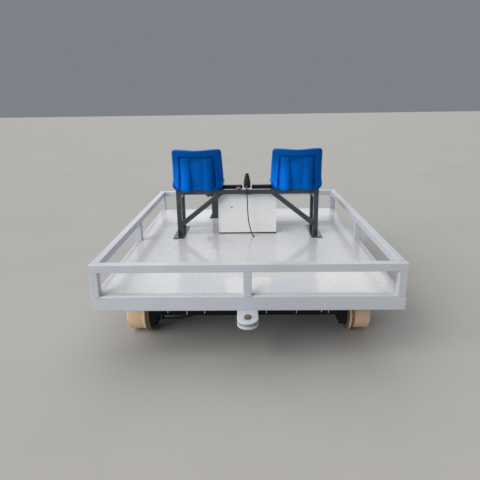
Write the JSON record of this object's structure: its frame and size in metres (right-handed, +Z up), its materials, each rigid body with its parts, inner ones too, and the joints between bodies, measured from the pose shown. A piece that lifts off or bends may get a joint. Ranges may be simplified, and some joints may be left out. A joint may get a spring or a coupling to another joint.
{
  "type": "rail inspection trolley",
  "caption": "Self-propelled rail inspection trolley: flat platform with a low guard rail, seats on a steel stand, joystick, cabinet and flanged polyurethane wheels.",
  "frame": {"origin": "on the floor under the middle of the platform, at the bottom centre of the bounding box", "axes": "+X to the right, +Y forward, the way the seats face, +Z up"},
  "size_m": [1.89, 2.48, 1.206],
  "materials": {
    "white_paint": "white gloss enamel, slightly dirty and chipped",
    "grey_paint": "dark grey chassis paint, dusty",
    "slate_paint": "dark slate-grey satin paint",
    "blue_plastic": "moulded blue plastic, glossy",
    "tan_polyurethane": "cast tan polyurethane, satin",
    "black_steel": "black painted steel",
    "black_rubber": "black moulded rubber",
    "black_plastic": "black moulded plastic",
    "red_plastic": "red moulded plastic",
    "bare_steel": "bare sheet steel",
    "rusty_steel": "rusty steel"
  },
  "bodies": {
    "chassis": {"battery": "black_plastic", "beam_front": "white_paint", "beam_left": "white_paint", "beam_rear": "white_paint", "beam_right": "white_paint", "bearing_front_left": "grey_paint", "bearing_front_right": "grey_paint", "bearing_rear_left": "grey_paint", "bearing_rear_right": "grey_paint", "brake_cable": "black_rubber", "brake_column": "slate_paint", "brake_lever": "black_steel", "cabinet": "white_paint", "cable_plug": "black_rubber", "clevis_front": "white_paint", "clevis_rear": "white_paint", "control_cable": "black_rubber", "cross_drive": "grey_paint", "cross_front": "grey_paint", "cross_rear": "grey_paint", "deck_plate": "white_paint", "drive_unit": "black_steel", "joist_front": "grey_paint", "joist_middle": "grey_paint", "joist_rear": "grey_paint", "joystick": "black_rubber", "lever_plate": "bare_steel", "post_front_left": "white_paint", "post_front_middle": "white_paint", "post_front_right": "white_paint", "post_middle_left": "white_paint", "post_middle_right": "white_paint", "post_rear_left": "white_paint", "post_rear_middle": "white_paint", "post_rear_right": "white_paint", "rail_front": "white_paint", "rail_left": "white_paint", "rail_rear": "white_paint", "rail_right": "white_paint", "seat_left": "blue_plastic", "seat_right": "blue_plastic", "sill_left": "grey_paint", "sill_right": "grey_paint", "stand_bar_front": "slate_paint", "stand_bar_rear": "slate_paint", "stand_brace_left": "slate_paint", "stand_brace_right": "slate_paint", "stand_side_left": "slate_paint", "stand_side_right": "slate_paint", "stop_button": "red_plastic", "tow_bolt": "rusty_steel"},
    "rear_wheelset": {"axle_rear": "black_steel", "tyre_rear_left": "tan_polyurethane", "tyre_rear_right": "tan_polyurethane"},
    "front_wheelset": {"axle_front": "black_steel", "tyre_front_left": "tan_polyurethane", "tyre_front_right": "tan_polyurethane"},
    "door": {"cabinet_door": "white_paint", "door_latch": "black_plastic"}
  },
  "joints": [
    {"name": "rear_axle_turn", "type": "hinge", "parent": "chassis", "child": "rear_wheelset", "pos_m": [0, -0.664, 0.148], "axis": [-1, 0, 0], "continuous": true},
    {"name": "front_axle_turn", "type": "hinge", "parent": "chassis", "child": "front_wheelset", "pos_m": [0, 0.664, 0.148], "axis": [-1, 0, 0], "continuous": true},
    {"name": "door_hinge", "type": "hinge", "parent": "chassis", "child": "door", "pos_m": [0.262, 0.506, 0.63], "axis": [0, 0, -1], "range_deg": [0, 110]}
  ]
}
